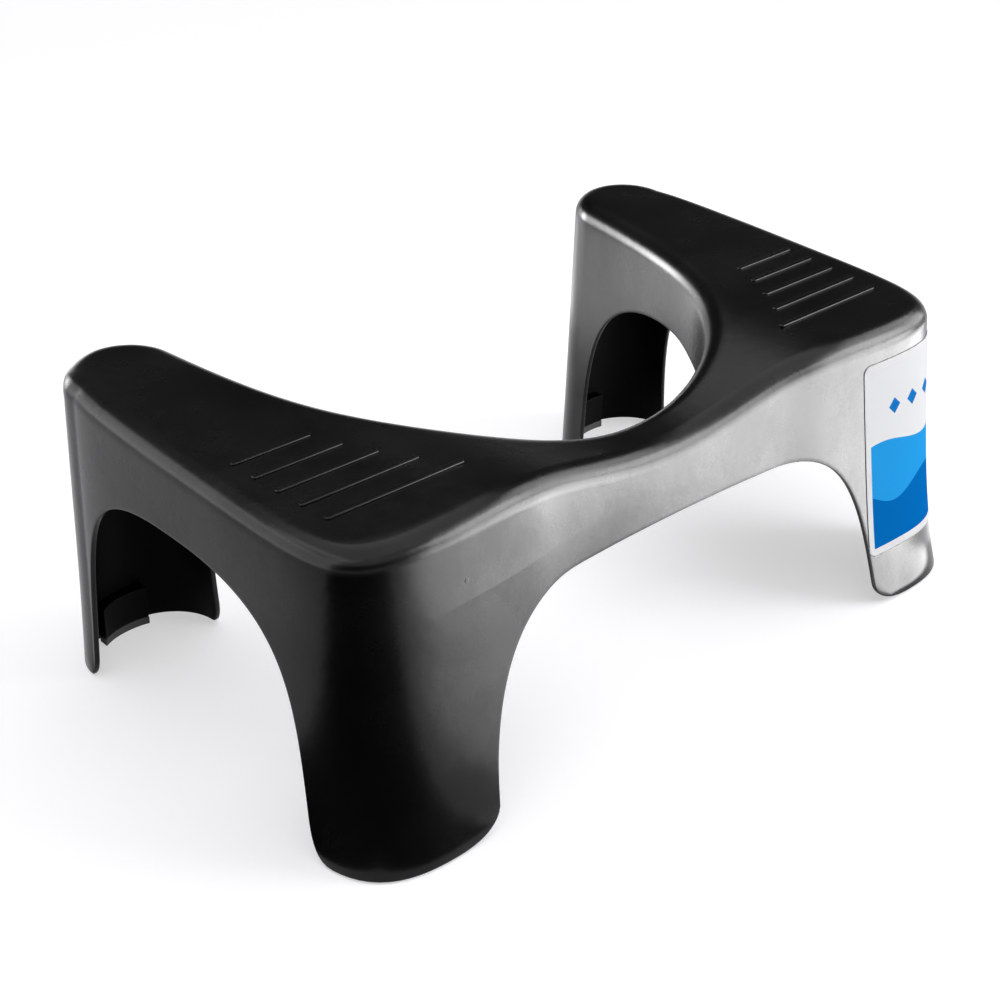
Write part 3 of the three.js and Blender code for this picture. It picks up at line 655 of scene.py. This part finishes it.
# Grip ribs: five bars on each wing, moulded in one with the top face so that feet don't slide.
# They have flat tops, round ends and softly rounded edges.
RIB_BACK_DEPTH = 0.014
RIB_PITCH = 0.01686
RIB_SIDE_MARGIN = 0.0206
RIB_LONGEST = 0.0832
RIB_RADIUS = 0.0016
RIB_RISE = 0.001
RIB_ROOT = 0.0008
RIB_ROUND = 0.0004
RIB_LENGTH_SHARES = (0.565, 0.641, 0.734, 0.855, 1)
RIB_MARGIN_SHARES = (1, 1.02, 1.08, 1.14, 1.24)
RIB_END_STEPS, RIB_EDGE_STEPS = 12, 5


def rib_grid(order, side):
    """Grid of one bar: columns round its outline, a straight bar with half-circle ends, and
    rows up its side, over a quarter-round edge and in to its middle line."""
    length = RIB_LONGEST * RIB_LENGTH_SHARES[order]
    reach = length / 2 - RIB_RADIUS
    middle = WIDEST[0] - RIB_SIDE_MARGIN * RIB_MARGIN_SHARES[order] - length / 2
    turn = np.linspace(-math.pi / 2, math.pi / 2, RIB_END_STEPS + 1)
    angle = np.concatenate([turn, turn + math.pi])[:, None]
    end = np.repeat([reach, -reach], len(turn))[:, None]
    bend = np.linspace(0, math.pi / 2, RIB_EDGE_STEPS + 1)
    radius = np.concatenate([[0, 1], 1 - RIB_ROUND / RIB_RADIUS * (1 - np.cos(bend)), [0]])
    radius = RIB_RADIUS * radius
    rise = np.concatenate([
        [-RIB_ROOT, -RIB_ROOT], RIB_RISE - RIB_ROUND * (1 - np.sin(bend)), [RIB_RISE]])
    x = end + radius * np.cos(angle)
    y = radius * np.sin(angle) - RIB_BACK_DEPTH - RIB_PITCH * order
    z = TOP_AT_FRONT + TOP_SLOPE * (y - SHOULDER[1]) + rise
    return np.stack([side * (middle + x), y, z], -1)


grip_ribs = mesh_piece(
    "grip_ribs",
    [(rib_grid(order, side), True)
     for order in range(len(RIB_LENGTH_SHARES)) for side in (-1, 1)],
    black_plastic)
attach(grip_ribs, "root")

# Strip seats: four solid blocks moulded into the inside of the feet, which carry the rubber
# strips. They have slightly rounded edges and take the inside plastic: matt, with painted
# shade in its darker colour and weaker reflection.
SEAT_LENGTH = 0.0315
SEAT_REACH = WALL + 0.007
SEAT_BOTTOM = 0.005
SEAT_TOP = 0.025
SEAT_STEPS = 16
SEAT_ROUND = 0.0006
SOFT_EDGE_STEPS = 3
SOFT_EDGE_TURN = math.radians(40)
SEAT_STARTS = {
    "rear_right": (1, True, 0.1653),
    "rear_left": (-1, True, 0.1773),
    "front_right": (1, False, 0.17),
    "front_left": (-1, False, 0.17),
}


def foot_block(side, rear, start, low, high, inset):
    """Grids of a block along the inside of a foot: its skin, with one column for each place
    along the wall, and its two ends."""
    runs = outline_run[outline_plan[:, 1] > TIP_CENTRE[1]] if rear else outline_run[:widest]
    x = start + SEAT_LENGTH * np.linspace(0, 1, SEAT_STEPS + 1)

    def line(z, depth):
        """Points along the wall at a height and a depth in from its outside."""
        wall = wall_point(runs, z, depth)
        order = np.argsort(wall[:, 0])
        y = np.interp(x, wall[order, 0], wall[order, 1])
        return np.column_stack([side * x, y, np.full_like(x, z)])

    corners = [line(low, inset), line(high, inset), line(high, SEAT_REACH), line(low, SEAT_REACH)]
    skin = np.stack(corners + corners[:1], 1)
    ends = [np.stack([skin[k, :2], skin[k, 3:1:-1]]) for k in (0, -1)]
    return [(skin, False), (ends[0], False), (ends[1], False)]


def soften(piece, width):
    """Rounded edges of a width wherever two faces meet at over forty degrees."""
    bevel = piece.modifiers.new("soft_edges", "BEVEL")
    bevel.width = width
    bevel.segments = SOFT_EDGE_STEPS
    bevel.limit_method = "ANGLE"
    bevel.angle_limit = SOFT_EDGE_TURN
    bevel.harden_normals = True


seat_grids = []
for side, rear, start in SEAT_STARTS.values():
    seat_grids += foot_block(side, rear, start, SEAT_BOTTOM, SEAT_TOP, WALL / 2)
strip_seats = mesh_piece("strip_seats", seat_grids, inside_plastic_painted_shade)
soften(strip_seats, SEAT_ROUND)
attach(strip_seats, "root")

# Foot strips: four pads of matt black rubber pressed under the seats. The stool stands on them
# and they keep it from sliding on a tiled floor.
STRIP_TOP = SEAT_BOTTOM - 0.0003
STRIP_INSET = WALL + 0.0007
STRIP_ROUND = 0.0003
RUBBER_COLOUR = (0.018, 0.018, 0.018)
strip_rubber = moulded_material(
    "strip_rubber", RUBBER_COLOUR, roughness=0.75, variation=0.2, ripple=0.5)
for name, (side, rear, start) in SEAT_STARTS.items():
    strip = mesh_piece(
        "foot_strip_" + name,
        foot_block(side, rear, start, 0, STRIP_TOP, STRIP_INSET), strip_rubber)
    soften(strip, STRIP_ROUND)
    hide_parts("foot_pad_" + name)
    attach(strip, "root")

# Gate mark: the small round witness of the moulding gate on the front left leg, a flat button
# that stands a tenth of a millimetre proud of the wall.
GATE_RUN = 0.1547
GATE_HEIGHT = 0.1386
GATE_COLUMNS = 32
GATE_RADII = np.array([0, 0.001, 0.00125, 0.0014, 0.0014])
GATE_RISES = np.array([0.00012, 0.00012, 0.00009, 0.00003, -0.0004])
gate_turn = np.linspace(0, 2 * math.pi, GATE_COLUMNS + 1)[:-1, None]
gate_grid = wall_point(
    GATE_RUN + GATE_RADII * np.cos(gate_turn), GATE_HEIGHT + GATE_RADII * np.sin(gate_turn),
    -GATE_RISES)
gate_mark = mesh_piece("gate_mark", [(gate_grid * (-1, 1, 1), True)], black_plastic)
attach(gate_mark, "root")

# Label: a thin adhesive sheet with rounded corners round the corner of the front right leg,
# printed with a plain pattern of waves and diamonds in two blues.
LABEL_START = 0.14238
LABEL_WIDTH = 0.084
LABEL_BOTTOM = 0.033
LABEL_TOP = 0.1515
LABEL_CORNER = 0.005
LABEL_STAND_OFF = 0.00045
LABEL_THICKNESS = 0.0003
LABEL_LEAN = 0.044
LABEL_TAPER = 0.03
LABEL_COLUMNS, LABEL_ROWS, CORNER_STEPS = 72, 96, 8
PANEL_LEFT, PANEL_RIGHT, PANEL_BOTTOM = 0.05, 0.95, 0.04
PANEL_WAVE = (0.56, 0.03, 1, 0.6)
DEEP_WAVE = (0.3, 0.045, 1.3, 2.4)
DIAMOND_PITCHES, DIAMOND_SIZE = (5, 7.05), 0.3
DIAMONDS_LEFT, DIAMONDS_RIGHT, DIAMONDS_MIDDLE = 0.2, 0.8, 0.75
PAPER_WHITE = (0.86, 0.87, 0.88, 1)
PANEL_BLUE = (0.024, 0.366, 0.847, 1)
DEEP_BLUE = (0.002, 0.156, 0.515, 1)
DIAMOND_BLUE = (0.01, 0.2, 0.6, 1)


def label_sheet():
    """Grid of the sheet on the wall, and the place of each of its points on the print, both
    shares from 0 to 1. Its edges draw in at the corners along a quarter circle."""
    corner = LABEL_CORNER * (1 - np.cos(np.linspace(0, math.pi / 2, CORNER_STEPS + 1)))
    straight = np.linspace(
        LABEL_CORNER, LABEL_WIDTH - LABEL_CORNER, LABEL_COLUMNS - 2 * CORNER_STEPS + 1)
    place = np.concatenate([corner, straight[1:-1], LABEL_WIDTH - corner[::-1]])[:, None]
    short = LABEL_CORNER - np.minimum(np.minimum(place, LABEL_WIDTH - place), LABEL_CORNER)
    trim = LABEL_CORNER - np.sqrt(LABEL_CORNER ** 2 - short ** 2)
    share = np.linspace(0, 1, LABEL_ROWS + 1)
    z = LABEL_BOTTOM + trim + (LABEL_TOP - LABEL_BOTTOM - 2 * trim) * share
    below = (LABEL_TOP - z) / (LABEL_TOP - LABEL_BOTTOM)
    run = LABEL_START + (LABEL_TOP - z) * LABEL_LEAN + place * (1 - LABEL_TAPER * below)
    printed = np.stack([place / LABEL_WIDTH + 0 * z, 1 - below, 0 * z], -1)
    return wall_point(run, z, -LABEL_STAND_OFF), printed


def label_print():
    """Node group for the print: its colour at a place on the sheet. A white ground carries a
    blue panel whose top edge is a wave, with a deeper wave across it and a row of diamonds
    above. A diamond is where the distances from its middle across and up, each in its own
    pitch, add up to less than its size."""
    group = bpy.data.node_groups.new("label_print", "ShaderNodeTree")
    group.interface.new_socket("Place", in_out="INPUT", socket_type="NodeSocketVector")
    group.interface.new_socket("Color", in_out="OUTPUT", socket_type="NodeSocketColor")
    given, result = group.nodes.new("NodeGroupInput"), group.nodes.new("NodeGroupOutput")
    split = group.nodes.new("ShaderNodeSeparateXYZ")
    group.links.new(given.outputs["Place"], split.inputs[0])
    u, v = split.outputs[0], split.outputs[1]

    def both(first, second):
        """Mask of where two masks overlap."""
        return reckon(group, "MULTIPLY", first, second)

    def across(left, right):
        """Mask of the places between two shares of the width."""
        return both(reckon(group, "GREATER_THAN", u, left), reckon(group, "LESS_THAN", u, right))

    def under(middle, height, turns, start):
        """Mask below a wave: its middle plus its height times the sine of an angle that starts
        at a value and makes some turns over the width."""
        angle = reckon(group, "MULTIPLY_ADD", u, turns * 2 * math.pi, start)
        wave = reckon(group, "MULTIPLY_ADD", reckon(group, "SINE", angle), height, middle)
        return reckon(group, "LESS_THAN", v, wave)

    panel = both(across(PANEL_LEFT, PANEL_RIGHT),
                 reckon(group, "GREATER_THAN", v, PANEL_BOTTOM))
    pitches = reckon(group, "FRACT", reckon(group, "MULTIPLY", u, DIAMOND_PITCHES[0]))
    aside = reckon(group, "ABSOLUTE", reckon(group, "SUBTRACT", pitches, 0.5))
    above = reckon(group, "ABSOLUTE", reckon(group, "SUBTRACT", v, DIAMONDS_MIDDLE))
    above = reckon(group, "MULTIPLY", above, DIAMOND_PITCHES[1])
    diamond = reckon(group, "LESS_THAN", reckon(group, "ADD", aside, above), DIAMOND_SIZE)
    diamonds = both(diamond, across(DIAMONDS_LEFT, DIAMONDS_RIGHT))
    colour = PAPER_WHITE
    for mask, ink in ((both(panel, under(*PANEL_WAVE)), PANEL_BLUE),
                      (both(panel, under(*DEEP_WAVE)), DEEP_BLUE),
                      (diamonds, DIAMOND_BLUE)):
        colour = mix_colours(group, mask, colour, ink)
    group.links.new(colour, result.inputs["Color"])
    return group


label_film, nodes, links = new_material("label_film")
place = nodes.new("ShaderNodeAttribute")
place.attribute_name = "print"
design = nodes.new("ShaderNodeGroup")
design.node_tree = label_print()
fibre = add_finish(nodes, roughness=0.5, variation=0.1, ripple=0.12)
shader = nodes.new("ShaderNodeBsdfPrincipled")
output = nodes.new("ShaderNodeOutputMaterial")
links.new(place.outputs["Vector"], design.inputs["Place"])
links.new(design.outputs["Color"], shader.inputs["Base Color"])
links.new(fibre.outputs["Roughness"], shader.inputs["Roughness"])
links.new(fibre.outputs["Normal"], shader.inputs["Normal"])
shader.inputs["Specular IOR Level"].default_value = 0
links.new(shader.outputs[0], output.inputs["Surface"])
sheet_points, sheet_print = label_sheet()
front_label = mesh_piece(
    "front_label_sheet", [(sheet_points, False)], label_film, print_place=sheet_print)
thickness = front_label.modifiers.new("sheet_thickness", "SOLIDIFY")
thickness.thickness = LABEL_THICKNESS
thickness.offset = -1
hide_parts("front_label")
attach(front_label, "root")
